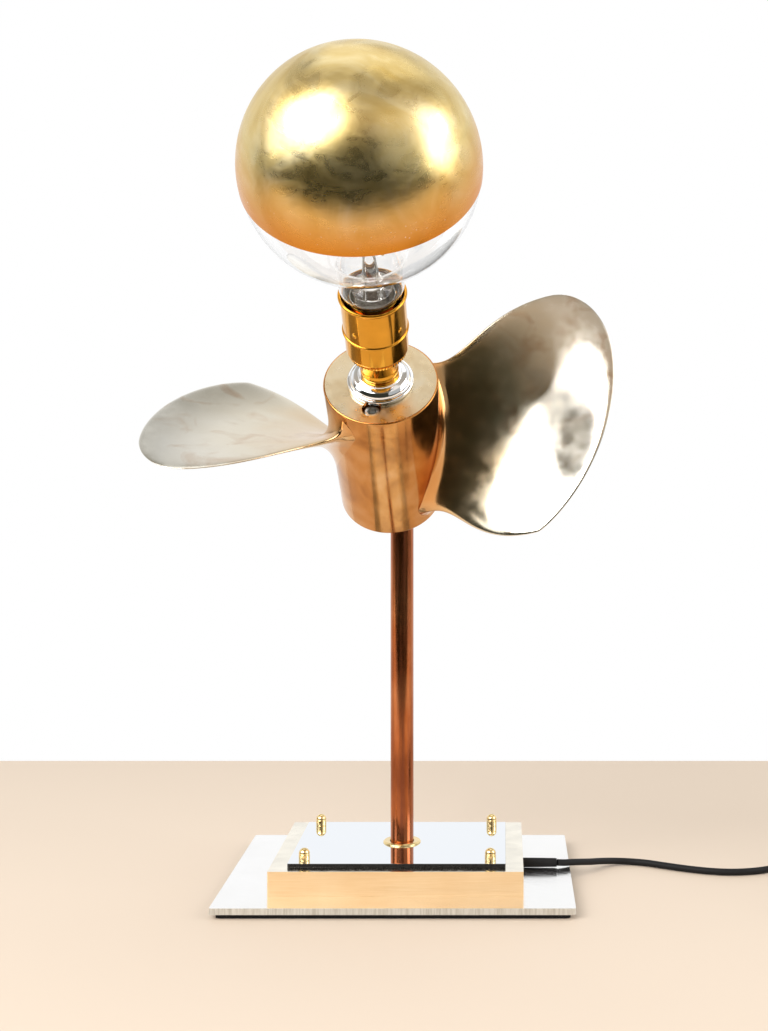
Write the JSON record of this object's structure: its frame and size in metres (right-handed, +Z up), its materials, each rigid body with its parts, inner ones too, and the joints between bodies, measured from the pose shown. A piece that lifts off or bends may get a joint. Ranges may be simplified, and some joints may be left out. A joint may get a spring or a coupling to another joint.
{
  "type": "table lamp",
  "caption": "Table lamp made from a bladed bronze boat propeller, tilted on a bent copper stem over a stacked metal and mirror base, with a half-gilded globe bulb.",
  "frame": {"origin": "on the underside of the base pad, straight below the upright part of the stem", "axes": "+Z up, -Y to the front where the bulb and the hub's face point, +X to the viewer's right where the cord leaves"},
  "size_m": [0.5022, 0.3588, 0.4851],
  "materials": {
    "bronze": "polished cast bronze, satin turned upper face",
    "brass": "polished lacquered brass",
    "satin_brass": "fine-brushed brass",
    "copper": "drawn copper tube, lightly tarnished",
    "aluminium": "polished face, sawn edge",
    "mirror": "silvered glass with a blackened edge",
    "chrome": "bright chrome plate",
    "steel": "zinc-plated steel, nickel plate on the bulb cap",
    "gold_leaf": "burnished gold leaf with fine wrinkles",
    "glass": "clear blown glass",
    "filament": "phosphor-coated filament",
    "ceramic": "unglazed steatite",
    "rubber": "black rubber",
    "black_plastic": "moulded black plastic",
    "cord": "matt black round flex"
  },
  "bodies": {
    "lamp": {"base_block": "satin_brass", "base_pad": "rubber", "base_plate": "aluminium", "block_screw_1": "steel", "block_screw_2": "steel", "block_screw_3": "steel", "block_screw_4": "steel", "ceramic_insert": "ceramic", "chrome_dome": "chrome", "coil_tie": "rubber", "contact_tongue": "brass", "cord_relief": "rubber", "dome_nut_1": "brass", "dome_nut_2": "brass", "dome_nut_3": "brass", "dome_nut_4": "brass", "flex_coil": "cord", "flex_lead": "cord", "flex_middle": "cord", "flex_tail": "cord", "holder_body": "brass", "holder_bush": "satin_brass", "holder_neck": "brass", "holder_nipple": "steel", "holder_shell": "brass", "hub_lock_screw": "steel", "inner_flex": "cord", "knurled_ring": "brass", "mirror_plate": "mirror", "nipple_nut": "steel", "plug_body": "black_plastic", "plug_pin_1": "brass", "plug_pin_2": "brass", "propeller": "bronze", "stem_bush": "satin_brass", "stem_collar": "brass", "stem_set_screw": "steel", "stem_tube": "copper", "stud_1": "steel", "stud_2": "steel", "stud_3": "steel", "stud_4": "steel", "switch_base": "black_plastic", "switch_contact": "brass", "switch_cover": "black_plastic", "switch_screw_1": "steel", "switch_screw_2": "steel", "thread_shell": "brass"},
    "bulb_foot": {"bulb_contact": "steel"},
    "bulb": {"bulb_cap": "steel", "bulb_glass": "glass", "gold_crown": "gold_leaf", "glass_mount": "glass", "filament_1": "filament", "filament_2": "filament", "filament_3": "filament", "filament_4": "filament"},
    "rocker": {"switch_rocker": "black_plastic"}
  },
  "joints": [
    {"name": "bulb_out", "type": "slide", "parent": "lamp", "child": "bulb_foot", "axis": [0, -0.766, 0.6428], "range_m": [0, 0.0182]},
    {"name": "bulb_turn", "type": "hinge", "parent": "bulb_foot", "child": "bulb", "pos_m": [-0.0061, -0.092, 0.3205], "axis": [0, -0.766, 0.6428], "range_deg": [0, 1800]},
    {"name": "rocker_press", "type": "hinge", "parent": "lamp", "child": "rocker", "pos_m": [0.302, 0.025, 0.0114], "axis": [0, 1, 0], "range_deg": [0, 16]}
  ],
  "couplings": [
    {"joint": "bulb_out", "follows": "bulb_turn", "m_per_rad": 0.00057757}
  ]
}
